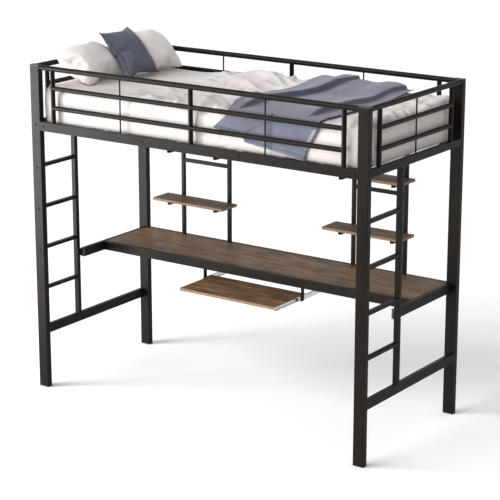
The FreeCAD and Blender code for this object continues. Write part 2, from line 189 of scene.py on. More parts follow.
def wood_board(name, tint):
    """Brown rustic board: long grain, growth bands, dark pores and lighter banded edges."""
    g = Graph(name)
    where = g.place(GRAIN_STRETCH, shift=GRAIN_SHIFT)
    warp = g.noise(g.place(times(GRAIN_STRETCH, 0.5)), 2.2, 3.0, 0.55)
    bands = g.add("TexWave", {"Vector": where, "Scale": 1.1, "Distortion": 11.0, "Detail": 3.0,
                              "Detail Scale": 1.3, "Detail Roughness": 0.6},
                  bands_direction="Y").outputs["Fac"]
    grain = g.noise(where, 26.0, 6.0, 0.65)
    blotch = g.noise(g.place(tuple(s ** 0.35 for s in GRAIN_STRETCH)), 7.0, 5.0, 0.7)
    pores = g.noise(g.place(times(GRAIN_STRETCH, 3.0)), 40.0, 2.0, 0.7)

    growth = g.math("ADD", g.math("MULTIPLY", bands, 0.42), g.math("MULTIPLY", warp, 0.55))
    base = g.ramp(growth, (0.26, times(WOOD_DEEP, tint)), (0.48, times(WOOD_MID, tint)),
                  (0.74, times(WOOD_PALE, tint)))
    streaks = g.ramp(grain, (0.32, (0.74, 0.73, 0.72)), (0.65, (1.10, 1.08, 1.05)))
    worn = g.ramp(blotch, (0.38, (0.50, 0.52, 0.56)), (0.60, (1.36, 1.28, 1.20)))
    dots = g.ramp(pores, (0.28, (0.35, 0.33, 0.3)), (0.4, WHITE))
    colour = g.mix(0.55, base, streaks, "MULTIPLY")
    colour = g.mix(0.85, colour, worn, "MULTIPLY")
    colour = g.mix(0.6, colour, dots, "MULTIPLY")

    normal = g.add("TexCoord").outputs["Normal"]
    up = g.math("ABSOLUTE", g.add("SeparateXYZ", {"Vector": normal}).outputs["Z"])
    side = g.spread(up, 0.35, 0.8, 1.0, 0.0)
    g.join(g.mix(side, colour, g.mix(0.5, WOOD_EDGE, streaks, "MULTIPLY")), "Base Color")
    g.join(g.spread(grain, 0.3, 0.7, 0.48, 0.64), "Roughness")
    g.join(g.bump(g.math("ADD", grain, g.math("MULTIPLY", pores, 0.6)), 0.0006, 0.6), "Normal")
    g.set(Specular_IOR_Level=0.25)
    return g.material


def moulded_plastic(name, colour):
    """Dull plastic with a fine moulded skin."""
    g = Graph(name)
    skin = g.noise(g.place(), 1400.0, 2.0)
    broad = g.noise(g.place(), 14.0, 3.0)
    g.join(g.ramp(broad, (0.3, times(colour, 0.8)), (0.7, times(colour, 1.4))), "Base Color")
    g.join(g.spread(skin, 0.3, 0.7, 0.5, 0.62), "Roughness")
    g.join(g.bump(skin, 0.0003, 0.4), "Normal")
    return g.material


def zinc(name):
    """Bright zinc sheet with fine draw lines along the runner."""
    g = Graph(name)
    lines = g.noise(g.place((60, 1.5, 60)), 30.0, 3.0, 0.6)
    spangle = g.noise(g.place(), 60.0, 2.0)
    g.join(g.ramp(spangle, (0.3, ZINC_DARK), (0.7, ZINC_LIGHT)), "Base Color")
    g.join(g.spread(lines, 0.3, 0.7, 0.24, 0.42), "Roughness")
    g.join(g.bump(lines, 0.0002, 0.3), "Normal")
    g.set(Metallic=1.0)
    return g.material


def woven(name, colour, thread, relief, contrast, sheen, tint=WHITE, mottled=0.0):
    """Cloth: crossed threads as relief, soft colour drift, mottling, and a light sheen of the tint.

    thread is the spacing of the threads and relief their height, in metres.
    """
    g = Graph(name)
    threads = []
    for turn in ((0, 0, 0), (0, 0, math.pi / 2)):
        wave = g.add("TexWave", {"Vector": g.place((1, 1, 0.73), turn), "Scale": 1.0 / thread,
                                 "Distortion": 1.1, "Detail": 1.0, "Detail Scale": 2.0},
                     bands_direction="DIAGONAL")
        threads.append(wave.outputs["Fac"])
    weave = g.math("MULTIPLY", *threads)
    fuzz = g.noise(g.place(), 420.0, 3.0, 0.6)
    drift = g.noise(g.place(), 7.0, 3.0, 0.5)
    patch = g.noise(g.place(), 38.0, 4.0, 0.7)
    base = g.ramp(drift, (0.3, times(colour, 1 - contrast)), (0.7, times(colour, 1 + contrast)))
    dust = g.ramp(g.math("ADD", g.math("MULTIPLY", weave, 0.35), g.math("MULTIPLY", patch, 0.75)),
                  (0.25, times(WHITE, 1 - mottled)), (0.75, times(WHITE, 1 + mottled)))
    g.join(g.mix(1.0, base, dust, "MULTIPLY"), "Base Color")
    g.join(g.bump(g.math("ADD", weave, g.math("MULTIPLY", fuzz, 0.8)), relief, 0.7), "Normal")
    g.set(Roughness=0.85, Sheen_Weight=sheen, Sheen_Roughness=0.45, Sheen_Tint=(*tint, 1.0),
          Specular_IOR_Level=0.25)
    return g.material


paint = painted_metal("powder_coat", FRAME_COLOUR, 0.42)
paint_round = painted_metal("powder_coat_round", times(FRAME_COLOUR, 1.1), 0.38)
bolt_dark = painted_metal("bolt_black", BOLT_COLOUR, 0.46, 0.0002)
plastic = moulded_plastic("black_plastic", PLASTIC_COLOUR)
wood = wood_board("rustic_board", 1.3)
wood_shelf = wood_board("rustic_shelf", 0.95)
runner_zinc = zinc("zinc_sheet")
linen = woven("linen_cover", COVER_COLOUR, 0.0014, 0.0006, 0.05, 0.2, LINEN_SHEEN)
linen_pillow = woven("linen_pillow", PILLOW_COLOUR, 0.0013, 0.0005, 0.05, 0.2, LINEN_SHEEN)
linen_side = woven("linen_mattress", MATTRESS_COLOUR, 0.0016, 0.0006, 0.04, 0.15)
navy = woven("navy_throw", THROW_COLOUR, 0.0018, 0.0009, 0.14, 0.55, (0.80, 0.80, 0.86), 0.16)
navy_cushion = woven("navy_cushion", CUSHION_COLOUR, 0.0020, 0.0010, 0.16, 0.4, (0.70, 0.74, 0.85), 0.28)
# Dark navy trim cloth; on the throw's folded-over edge it paints the shadow under that edge.
navy_trim_and_shade = woven("navy_trim_and_shade", TRIM_AND_SHADE_COLOUR, 0.0012, 0.0005, 0.1, 0.3, (0.5, 0.6, 0.8))
thread_pale = woven("pale_thread", THREAD_COLOUR, 0.0008, 0.0003, 0.06, 0.2)

SLOT_MATERIAL = {"frame_paint": paint, "wood_board": wood, "black_plastic": plastic, "bolt_black": bolt_dark,
                 "zinc_runner": runner_zinc, "white_linen": linen_side, "navy_fabric": navy}
# Nodes whose finish differs from the rest of their slot, by how their names start.
NAMED_MATERIAL = {"guard": paint_round, "shelf_lower": wood_shelf, "shelf_upper": wood_shelf}

for part in frame["record"]["subparts"]:
    finish = SLOT_MATERIAL[part["material_slot"]]
    for start, special in NAMED_MATERIAL.items():
        if part["node"].startswith(start):
            finish = special
    node_materials = nodes[part["node"]].data.materials
    node_materials.clear()
    node_materials.append(finish)


# ------------------------------------------------------------------ mesh helpers
MM_PER_M = 1000
TINY = 1e-9
TUBE_SIDES = 8
# Where the circles of vertices start, for a tube that closes on itself and for one with two ends.
RING_REFERENCE = Vector((0.13, 0.21, 0.97))
RUN_REFERENCE = Vector((0.11, 0.23, 0.96))

frame_corner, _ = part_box("post_front_left")


def at(x, y, z):
    """A point given in millimetres from the frame's front left bottom corner."""
    return Vector((frame_corner[0] + x / MM_PER_M, frame_corner[1] + y / MM_PER_M, z / MM_PER_M))


def piece(name, verts, faces, material, slot=None):
    """New smooth-shaded object from vertices and faces."""
    mesh = bpy.data.meshes.new(name)
    mesh.from_pydata([tuple(v) for v in verts], [], faces)
    mesh.validate()
    mesh.update()
    obj = bpy.data.objects.new(name, mesh)
    scene.collection.objects.link(obj)
    mesh.materials.append(material)
    for face in mesh.polygons:
        face.use_smooth = True
    return obj


def settle(obj):
    """Apply the object's modifiers to its mesh and shade it smooth."""
    depsgraph = bpy.context.evaluated_depsgraph_get()
    made = bpy.data.meshes.new_from_object(obj.evaluated_get(depsgraph))
    old = obj.data
    obj.modifiers.clear()
    obj.data = made
    bpy.data.meshes.remove(old)
    for face in made.polygons:
        face.use_smooth = True


def thicken(obj, thickness, side):
    """Give a sheet its thickness: on the face side where side is 1, behind it where it is -1."""
    shell = obj.modifiers.new("thickness", "SOLIDIFY")
    shell.thickness = thickness
    shell.offset = side
    settle(obj)


def grid_faces(columns, rows):
    """Quads of a grid whose vertices run along its rows."""
    faces = []
    for j in range(rows):
        for i in range(columns):
            a = j * (columns + 1) + i
            faces.append((a, a + 1, a + columns + 2, a + columns + 1))
    return faces


def tube(points, radius, closed=False):
    """Vertices and faces of a round tube: a ring where closed is set, otherwise a run with capped ends."""
    count = len(points)
    reference = RING_REFERENCE if closed else RUN_REFERENCE
    verts = []
    for k, point in enumerate(points):
        if closed:
            ahead = (points[(k + 1) % count] - points[k - 1]).normalized()
        else:
            ahead = (points[min(k + 1, count - 1)] - points[max(k - 1, 0)]).normalized()
        across = ahead.cross(reference).normalized()
        other = ahead.cross(across)
        for m in range(TUBE_SIDES):
            angle = 2 * math.pi * m / TUBE_SIDES
            verts.append(point + (across * math.cos(angle) + other * math.sin(angle)) * radius)
    faces = []
    for k in range(count if closed else count - 1):
        here = k * TUBE_SIDES
        there = (k + 1) % count * TUBE_SIDES
        for m in range(TUBE_SIDES):
            beside = (m + 1) % TUBE_SIDES
            faces.append((here + m, here + beside, there + beside, there + m))
    if not closed:
        last = (count - 1) * TUBE_SIDES
        faces.append(tuple(range(TUBE_SIDES))[::-1])
        faces.append(tuple(range(last, last + TUBE_SIDES)))
    return verts, faces


def rounded(point, low, high, radius):
    """The point, drawn in to radius from the block between low and high where it lies beyond that block."""
    nearest = Vector([max(a, min(b, p)) for p, a, b in zip(point, low, high)])
    out = point - nearest
    if out.length < TINY:
        return point
    return nearest + out.normalized() * radius


def smoothstep(low, high, x):
    """0 up to low and 1 from high on, with a soft rise between."""
    t = min(1.0, max(0.0, (x - low) / (high - low)))
    return t * t * (3 - 2 * t)


def bank(value, low, high, fade):
    """1 between low and high, fading to 0 over fade on both sides."""
    return smoothstep(low - fade, low, value) * (1 - smoothstep(high, high + fade, value))


def perlin(x, y, z):
    """Smooth noise of about -1 to 1; for a pattern in x and y, z picks which one."""
    return noise.noise(Vector((x, y, z)))


def ridge(x, y, seed, sharp):
    """Ridged noise from 0 to 1, with crests that are narrower the higher sharp is."""
    return max(0.0, 1.0 - abs(perlin(x, y, seed)) * 2.2) ** sharp


# ------------------------------------------------------------------ pillows and cushion
BED_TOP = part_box("bed_cover")[1][2] - 0.004
CASE_CELL = 0.0085
# A case's flat dome and the most that it may swell, as shares of its thickness.
CASE_DOME = 0.30
CASE_SWELL = 0.33
# How far a case's sides draw in between its corners, as a share of its size.
CASE_PULL = 0.045
CASE_FRAMES = 20
CASE_PRESSURE = 5.0
CASE_MASS = 0.25
CASE_STRETCH = 18.0
CASE_SHEAR = 0.4 * CASE_STRETCH
CASE_BEND = 0.35
# Lumps and creases, how far the ends sag, and how a case flattens within reach of the bed.
LUMP_HEIGHT = 0.0045
CREASE_DEPTH = 0.0032
END_SAG = 0.010
BED_REACH = 0.012
BED_SOFTNESS = 0.03
# Clearances from the cushion in front and from the guard's tube, and a start well below any case.
CUSHION_GAP = 0.0035
TUBE_GAP = 0.003
FAR_BELOW = -0.4


def envelope(depth, width, thick, ears):
    """Flat sewn case in its own frame: x along its depth, y along its width, z through it.

    Returns vertices, faces and the ring of seam vertices.  ears draws the corners in, or out below zero.
    """
    columns = round(depth / CASE_CELL)
    rows = round(width / CASE_CELL)
    dome = thick * CASE_DOME
    verts = []
    index = {}
    for side in (1, -1):
        for j in range(rows + 1):
            for i in range(columns + 1):
                rim = i in (0, columns) or j in (0, rows)
                if rim and side == -1:
                    index[side, i, j] = index[1, i, j]
                    continue
                u = 2 * i / columns - 1
                v = 2 * j / rows - 1
                corner = 1 - ears * (u * v) ** 4
                x = u * depth / 2 * (1 - CASE_PULL * (1 - v * v) ** 1.5) * corner
                y = v * width / 2 * (1 - CASE_PULL * (1 - u * u) ** 1.5) * corner
                z = side * dome * ((1 - u ** 4) * (1 - v ** 4)) ** 0.6
                index[side, i, j] = len(verts)
                verts.append(Vector((x, y, 0.0 if rim else z)))
    faces = []
    for side in (1, -1):
        for j in range(rows):
            for i in range(columns):
                quad = [index[side, i, j], index[side, i + 1, j], index[side, i + 1, j + 1],
                        index[side, i, j + 1]]
                faces.append(quad[::side])
    ring = [index[1, i, 0] for i in range(columns)] + [index[1, columns, j] for j in range(rows)]
    ring += [index[1, i, rows] for i in range(columns, 0, -1)] + [index[1, 0, j] for j in range(rows, 0, -1)]
    return verts, faces, ring


def inflate(obj, cap):
    """Blow the closed cloth shell up with gravity off, and keep each point within cap of where it began."""
    before = [v.co.copy() for v in obj.data.vertices]
    cloth = obj.modifiers.new("cloth", "CLOTH")
    cloth.settings.quality = 6
    cloth.settings.mass = CASE_MASS
    cloth.settings.tension_stiffness = CASE_STRETCH
    cloth.settings.compression_stiffness = CASE_STRETCH
    cloth.settings.shear_stiffness = CASE_SHEAR
    cloth.settings.bending_stiffness = CASE_BEND
    cloth.settings.use_pressure = True
    cloth.settings.uniform_pressure_force = CASE_PRESSURE
    cloth.settings.effector_weights.gravity = 0.0
    cloth.settings.air_damping = 4.0
    cloth.collision_settings.use_collision = False
    cloth.point_cache.frame_start = 1
    cloth.point_cache.frame_end = CASE_FRAMES
    for number in range(1, CASE_FRAMES + 1):
        scene.frame_set(number)
    settle(obj)
    scene.frame_set(1)
    for vertex, start in zip(obj.data.vertices, before):
        moved = vertex.co - start
        if moved.length > cap:
            vertex.co = start + moved * (cap / moved.length)


def crease(obj, depth, width, seed, tuck):
    """Add lumps, and creases near the seam; tuck draws in the lower corner on the front side."""
    for vertex in obj.data.vertices:
        co = vertex.co
        u = co.x / (depth / 2)
        v = co.y / (width / 2)
        edge = max(abs(u), abs(v))
        creases = ridge(co.x * 16 + co.y * 5, co.y * 16 - co.x * 5, seed, 2.0) * smoothstep(0.35, 0.95, edge)
        lumps = perlin(co.x * 9, co.y * 9, seed + 4.0)
        off_seam = 1 - smoothstep(0.93, 1.0, edge)
        side = 1 if co.z >= 0 else -1
        co.z += side * off_seam * (LUMP_HEIGHT * lumps - CREASE_DEPTH * creases)
        co.x -= tuck * smoothstep(0.2, 1.0, u) * smoothstep(0.1, 0.9, -v)


def lay_on_bed(obj, depth, place):
    """Sag the case's ends, move it to its place and flatten what comes near the bed."""
    for vertex in obj.data.vertices:
        u = vertex.co.x / (depth / 2)
        vertex.co.z -= END_SAG * u * u
        co = place @ vertex.co
        above = co.z - BED_TOP - BED_REACH
        if above < 0:
            co.z = BED_TOP + BED_REACH * math.exp(above / BED_SOFTNESS)
        vertex.co = co


def push_back(obj, other, place):
    """Dent obj where the other piece, whose own frame is place, presses on it."""
    inverse = place.inverted()
    local = other.data.copy()
    local.transform(inverse)
    tree = BVHTree.FromPolygons([v.co for v in local.vertices], [p.vertices for p in local.polygons])
    bpy.data.meshes.remove(local)
    for vertex in obj.data.vertices:
        q = inverse @ vertex.co
        hit = tree.ray_cast(Vector((q.x, q.y, FAR_BELOW)), Vector((0, 0, 1)))[0]
        if hit is not None and q.z > hit.z - CUSHION_GAP:
            q.z = hit.z - CUSHION_GAP
            vertex.co = place @ q


def clear_of_tube(obj, low, high):
    """Dent the surface, up and towards the bed, where the guard's top tube along Y would be in it."""
    radius = (high[0] - low[0]) / 2
    middle = Vector(((low[0] + high[0]) / 2, 0, high[2] - radius))
    inward = Vector((1, 0, 1)).normalized()
    reach = radius + TUBE_GAP
    for vertex in obj.data.vertices:
        offset = Vector((vertex.co.x, 0, vertex.co.z)) - middle
        along = offset.dot(inward)
        across = (offset - inward * along).length
        if across < reach and offset.length < 2 * reach:
            vertex.co += inward * max(0, math.sqrt(reach ** 2 - across ** 2) - along)


def pillow(node, size, centre, lean, turn, roll, cloth, trim, slot, welt, seed, ears, tuck=0.0,
           behind=None):
    """Stuffed case: sewn flat, blown up, creased, leaned back on the bed and edged with a welt.

    size is its depth, width and thickness, and lean, turn and roll are in degrees.
    """
    depth, width, thick = size
    verts, faces, ring = envelope(depth, width, thick, ears)
    obj = piece(node + "_case", verts, faces, cloth, slot)
    inflate(obj, thick * CASE_SWELL)
    crease(obj, depth, width, seed, tuck)
    place = (Matrix.Translation(centre) @ Matrix.Rotation(math.radians(turn), 4, "Z")
             @ Matrix.Rotation(math.radians(lean), 4, "Y") @ Matrix.Rotation(math.radians(roll), 4, "Z"))
    lay_on_bed(obj, depth, place)
    if behind:
        push_back(obj, *behind)
    clear_of_tube(obj, *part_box("guard_left"))
    seam = [obj.data.vertices[k].co.copy() for k in ring]
    finer = obj.modifiers.new("smooth", "SUBSURF")
    finer.levels = 1
    finer.render_levels = 1
    settle(obj)
    edging = piece(node + "_case_welt", *tube(seam, welt, closed=True), trim, slot)
    edging.parent = obj
    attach(obj, "bed")
    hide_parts(node)
    return obj, place


cushion = pillow("cushion", size=(0.318, 0.256, 0.085), centre=at(256, 531, 1820), lean=47.5, turn=1, roll=0,
                 cloth=navy_cushion, trim=navy_trim_and_shade, slot="navy_fabric", welt=0.0022, seed=5.3,
                 ears=-0.02)
pillow("pillow_front", size=(0.318, 0.440, 0.125), centre=at(143, 332, 1778), lean=36, turn=8, roll=0,
       cloth=linen_pillow, trim=linen_pillow, slot="white_linen", welt=0.0016, seed=2.7,
       ears=0.07, behind=cushion)
pillow("pillow_rear", size=(0.335, 0.345, 0.125), centre=at(228, 742, 1796), lean=38, turn=3, roll=-1,
       cloth=linen_pillow, trim=linen_pillow, slot="white_linen", welt=0.0016, seed=8.1,
       ears=0.06, tuck=0.040, behind=cushion)


# ------------------------------------------------------------------ mattress and its cover
MATTRESS_EDGE = 0.022
MATTRESS_CUTS = 15
# How far the foam's sides draw in above and below their middle.
MATTRESS_DRAW = 0.004
PIPING_RADIUS = 0.0025
PIPING_INSET = 0.003
PIPING_POINTS = 160
# The piping's outline is a superellipse: the lower this power, the squarer its corners.
PIPING_POWER = 0.09

cover_low, cover_high = (Vector(c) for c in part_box("bed_cover"))
COVER_TOP = cover_high.z
COVER_SINK = 0.006
COVER_EDGE = 0.047
COVER_CELL = 0.0105
COVER_CLOTH = 0.003
# Heights on the cover's top.
LUMPS = 0.010
SMALL_LUMPS = 0.006
LONG_FOLDS = 0.024
SHARP_CREASES = 0.015
FINE_CREASES = 0.008
BUNCHED_EDGE = 0.024
UNDER_THROW = 0.020
# Depths on the cover's falls, and where the crease by the foot end's corner lies.
BELLY = 0.0045
BELLY_BASE = 0.003
PLEATS = 0.002
RIPPLES = 0.0012
FOOT_WRINKLES = 0.0042
GATHERS = 0.006
CORNER_CREASE = 0.007
CORNER_CREASE_X = 0.964
CORNER_CREASE_BOW = 0.012
# The hem rises in waves over the last part of the fall.
HEM_START = 0.80
HEM_WAVE = 0.002
HEM_RIPPLE = 0.001


def mattress():
    """Foam block with a rounded edge and piping above and below."""
    low, high = (Vector(c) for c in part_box("mattress"))
    centre = (low + high) / 2
    half = (high - low) / 2
    inner = half - Vector((MATTRESS_EDGE, MATTRESS_EDGE, MATTRESS_EDGE))
    shell = bmesh.new()
    bmesh.ops.create_cube(shell, size=2.0)
    bmesh.ops.subdivide_edges(shell, edges=shell.edges, cuts=MATTRESS_CUTS, use_grid_fill=True)
    shell.verts.index_update()
    verts = []
    for v in shell.verts:
        p = rounded(Vector((v.co.x * half.x, v.co.y * half.y, v.co.z * half.z)), -inner, inner, MATTRESS_EDGE)
        belly = 1 - (p.z / half.z) ** 2
        p.x -= MATTRESS_DRAW * (1 - belly) * (1 if p.x > 0 else -1)
        p.y -= MATTRESS_DRAW * (1 - belly) * (1 if p.y > 0 else -1)
        verts.append(p + centre)
    faces = [[v.index for v in face.verts] for face in shell.faces]
    shell.free()
    obj = piece("mattress_body", verts, faces, linen_side, "white_linen")
    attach(obj, "bed")
    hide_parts("mattress")
    for label, z in (("low", low.z + MATTRESS_EDGE), ("high", high.z - MATTRESS_EDGE)):
        loop = []
        for k in range(PIPING_POINTS):
            angle = 2 * math.pi * k / PIPING_POINTS
            c, s = math.cos(angle), math.sin(angle)
            x = (half.x - PIPING_INSET) * math.copysign(abs(c) ** PIPING_POWER, c)
            y = (half.y - PIPING_INSET) * math.copysign(abs(s) ** PIPING_POWER, s)
            loop.append(Vector((centre.x + x, centre.y + y, z)))
        piping = piece("mattress_piping_" + label, *tube(loop, PIPING_RADIUS, closed=True), linen_side,
                       "white_linen")
        piping.parent = obj


def rounded_cap(low, high, radius, cell):
    """Top and four sides of a rounded block, open below."""
    centre = (low + high) / 2
    half = (high - low) / 2
    inner_high = half - Vector((radius, radius, radius))
    inner_low = Vector((-inner_high.x, -inner_high.y, -half.z))
    nx, ny, nz = (round(2 * size / cell) for size in half)
    verts = []
    keys = {}

    def vertex(i, j, k):
        if (i, j, k) not in keys:
            p = Vector(((2 * i / nx - 1) * half.x, (2 * j / ny - 1) * half.y, (2 * k / nz - 1) * half.z))
            keys[i, j, k] = len(verts)
            verts.append(rounded(p, inner_low, inner_high, radius) + centre)
        return keys[i, j, k]

    faces = []
    for i in range(nx):
        for j in range(ny):
            faces.append((vertex(i, j, nz), vertex(i + 1, j, nz), vertex(i + 1, j + 1, nz),
                          vertex(i, j + 1, nz)))
    for k in range(nz):
        for i in range(nx):
            faces.append((vertex(i, 0, k), vertex(i + 1, 0, k), vertex(i + 1, 0, k + 1), vertex(i, 0, k + 1)))
            faces.append((vertex(i + 1, ny, k), vertex(i, ny, k), vertex(i, ny, k + 1),
                          vertex(i + 1, ny, k + 1)))
        for j in range(ny):
            faces.append((vertex(0, j + 1, k), vertex(0, j, k), vertex(0, j, k + 1), vertex(0, j + 1, k + 1)))
            faces.append((vertex(nx, j, k), vertex(nx, j + 1, k), vertex(nx, j + 1, k + 1),
                          vertex(nx, j, k + 1)))
    return verts, faces


def cover_height(x, y):
    """Rise of the cover's top above its flat: lumps, soft folds, sharp creases and a bunched rear edge.

    a and b run across and along the soft folds, c and d across and along the sharp creases.  The cover is
    nearly flat under the pillows, where wake is 0, and under the throw, where free is small.
    """
    wake = smoothstep(-0.65, -0.32, x)
    lumps = LUMPS * perlin(x * 2.6 + 3.1, y * 3.4, 1.7) + SMALL_LUMPS * perlin(x * 7, y * 7, 9.2)
    bend = 0.12 * perlin(x * 3.0, y * 3.0, 4.4)
    a = x * 0.80 + y * 0.60 + bend
    b = -x * 0.60 + y * 0.80
    patch = smoothstep(-0.1, 0.45, perlin(x * 2.1, y * 2.3, 6.6) + 0.34)
    folds = LONG_FOLDS * ridge(a * 5.2, b * 1.5, 12.3, 3.0) * patch
    c = x * 0.25 + y * 0.97 + bend * 0.6
    d = x * 0.97 - y * 0.25
    creases = SHARP_CREASES * ridge(c * 8.5, d * 2.4, 31.9, 4.0)
    fine = FINE_CREASES * ridge(a * 15 + bend * 9, b * 5.0, 47.3, 3.0) * patch
    rear = smoothstep(0.10, 0.40, y)
    bunched = BUNCHED_EDGE * rear * smoothstep(-0.50, -0.32, x) * (1 + 0.6 * perlin(x * 11.0, y * 3.0, 5.5))
    under_throw = UNDER_THROW * rear * bank(x, 0.26, 0.60, 0.18)
    free = 1 - 0.92 * bank(x, 0.20, 0.80, 0.05)
    wrinkles = (folds + creases + fine) * free * wake
    return wrinkles + bunched + under_throw + lumps * (0.25 + 0.75 * wake * max(0.3, free))


def fall_offset(x, z, around, normal, drop):
    """How far a fall of the cover stands out: a belly, pleats, and wrinkles at the foot end and the front."""
    out = BELLY * math.sin(math.pi * min(1.0, drop)) - BELLY_BASE
    out += PLEATS * perlin(around * 26, z * 4, 2.2) * drop + RIPPLES * perlin(around * 9, z * 9, 8.8)
    if normal.x > 0.5:
        out += FOOT_WRINKLES * perlin(around * 60, z * 4, 5.1)
    elif normal.y < -0.5:
        near_throw = bank(x, 0.06, 0.22, 0.05) * smoothstep(0.45, 0.80, drop)
        out += GATHERS * near_throw * ridge(x * 13 + drop * 1.6, z * 11, 3.7, 1.6)
        line = x - CORNER_CREASE_X - CORNER_CREASE_BOW * math.sin(math.pi * drop)
        out -= CORNER_CREASE * math.exp(-(line / CORNER_CREASE) ** 2) * smoothstep(0.1, 0.3, drop)
    return out


def bed_cover():
    """Fitted cover over the mattress: a wrinkled top and four falls with a wavy hem."""
    low = cover_low.copy()
    high = cover_high.copy()
    high.z -= COVER_SINK
    verts, faces = rounded_cap(low, high, COVER_EDGE, COVER_CELL)
    obj = piece("bed_cover_cloth", verts, faces, linen, "white_linen")
    normals = [v.normal.copy() for v in obj.data.vertices]
    for vertex, normal in zip(obj.data.vertices, normals):
        x, y, z = vertex.co
        top = smoothstep(0.3, 0.95, normal.z)
        drop = (high.z - z) / (high.z - low.z)
        around = x if abs(normal.y) > abs(normal.x) else y + 3.0
        out = fall_offset(x, z, around, normal, drop)
        vertex.co += normal * (top * cover_height(x, y) + (1 - top) * out)
        if top < 0.5 and drop > HEM_START:
            wave = (HEM_WAVE * abs(perlin(around * 5.0, 3.3, 7.7))
                    + HEM_RIPPLE * abs(perlin(around * 19.0, 1.3, 4.7)))
            vertex.co.z += wave * smoothstep(HEM_START, 1.0, drop)
    thicken(obj, COVER_CLOTH, -1.0)
    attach(obj, "bed")
    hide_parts("bed_cover")


mattress()
bed_cover()


# ------------------------------------------------------------------ throw
CORNER = at(0, 0, 0)
THROW_LEFT = at(1165, 0, 0).x
THROW_RIGHT = at(1800, 0, 0).x
THROW_FRONT = cover_low.y - 0.0025
THROW_REAR = cover_high.y - 0.012
THROW_BEND = 0.030
THROW_RUN = THROW_REAR - THROW_FRONT - THROW_BEND
THROW_ARC = THROW_BEND * math.pi / 2
THROW_COLUMNS = 200
THROW_ROWS = 150
THROW_CLOTH = 0.0022
# The left edge lies this far towards the foot end at the front and at the rear, and spreads down the fall.
LEFT_FRONT = 0.085
LEFT_REAR = 0.105
LEFT_SPREAD = 0.080
# The right edge runs out to the rear and draws in down the fall.
RIGHT_REAR = 0.035
RIGHT_DRAW = 0.080
# Least and usual height over the cover and in front of it, the most that the fall stands out, clear of the
# guard's tubes, and the most that the folds stand up.
THROW_LEAST = 0.0025
THROW_LIFT = 0.004
FALL_LIFT = 0.003
FALL_MOST = 0.0070
FOLD_MOST = 0.070
# Two folds from front to rear: distance from the head end at the front and at the rear, width, height, and
# extra height at the rear.
THROW_FOLDS = ((1.285, 1.478, 0.095, 0.030, 0.014), (1.690, 1.762, 0.105, 0.028, -0.012))
FOLD_WANDER = 0.014
FOLD_LEAN = 0.013
# A fold's flank falls away gently on its left and steeply on its right.
LEFT_FLANK = 1.1
RIGHT_FLANK = 40.0
# Where the main fall's edge lies over the left flap, as a share of the width, and how it curves.
FLAP_EDGE = 0.355
FLAP_CURVE = 0.14
FLAP_CURVE_DROP = 0.085
FLAP_STEP = 0.0035
FLAP_GROOVE = 0.0015
# Lengths of the fall's two parts below the bend, and how much they gain over the width.
FLAP_FALL = (0.067, 0.080)
MAIN_FALL = (0.118, 0.070)
HEM_DEPTH = 0.016
HEM_RADIUS = 0.0011
EDGE_RADIUS = 0.0019
FOLDED_RADIUS = 0.0024
STITCH_COUNT = 9
STITCH_PITCH = 0.0085
STITCH_START = 0.155
STITCH_RADIUS = 0.0013


def throw_section(s):
    """Where the throw is s metres along it from the rear edge: y, z, the outward y and z, and the drop."""
    if s < THROW_RUN:
        return THROW_REAR - s, COVER_TOP, 0.0, 1.0, 0.0
    if s < THROW_RUN + THROW_ARC:
        angle = (s - THROW_RUN) / THROW_BEND
        y = THROW_FRONT + THROW_BEND - THROW_BEND * math.sin(angle)
        z = COVER_TOP - THROW_BEND + THROW_BEND * math.cos(angle)
        return y, z, -math.sin(angle), math.cos(angle), 0.0
    drop = s - THROW_RUN - THROW_ARC
    return THROW_FRONT, COVER_TOP - THROW_BEND - drop, -1.0, 0.0, drop


def flap_edge(drop):
    """Where the main fall's edge lies over the left flap, from 0 at the left edge to 1 at the right."""
    return FLAP_EDGE + FLAP_CURVE * (1 - min(1.0, drop / FLAP_CURVE_DROP)) ** 2


def throw_sides(y, outward_z, drop):
    """X of the throw's left and right edges."""
    deep = y - CORNER.y
    if outward_z > 0:
        left = LEFT_FRONT * (1 - smoothstep(0.04, 0.30, deep)) + LEFT_REAR * smoothstep(0.35, 0.88, deep)
    else:
        left = LEFT_FRONT - LEFT_SPREAD * min(1.2, drop / 0.07)
    back = smoothstep(THROW_FRONT, THROW_REAR, y)
    right = RIGHT_REAR * back - RIGHT_DRAW * smoothstep(-0.02, 0.17, drop)
    return THROW_LEFT + left, THROW_RIGHT + right


def throw_folds(x, y):
    """Height of the two long folds at a place on the top, and how much of their crests is there."""
    along = x - CORNER.x
    deep = y - CORNER.y
    height = 0.0
    crests = 0.0
    for front_x, rear_x, width, tall, climb in THROW_FOLDS:
        crest = front_x + (rear_x - front_x) * max(0.0, deep - 0.330) / 0.550
        crest += FOLD_WANDER * perlin(deep / 0.240, front_x * 10, 1.1)
        d = (along - crest) / width
        shape = math.exp(-d * d * (LEFT_FLANK if d < 0 else RIGHT_FLANK))
        height += (tall * smoothstep(0.040, 0.230, deep) + climb * smoothstep(0.500, 0.880, deep)) * shape
        crests += shape
    return height, crests


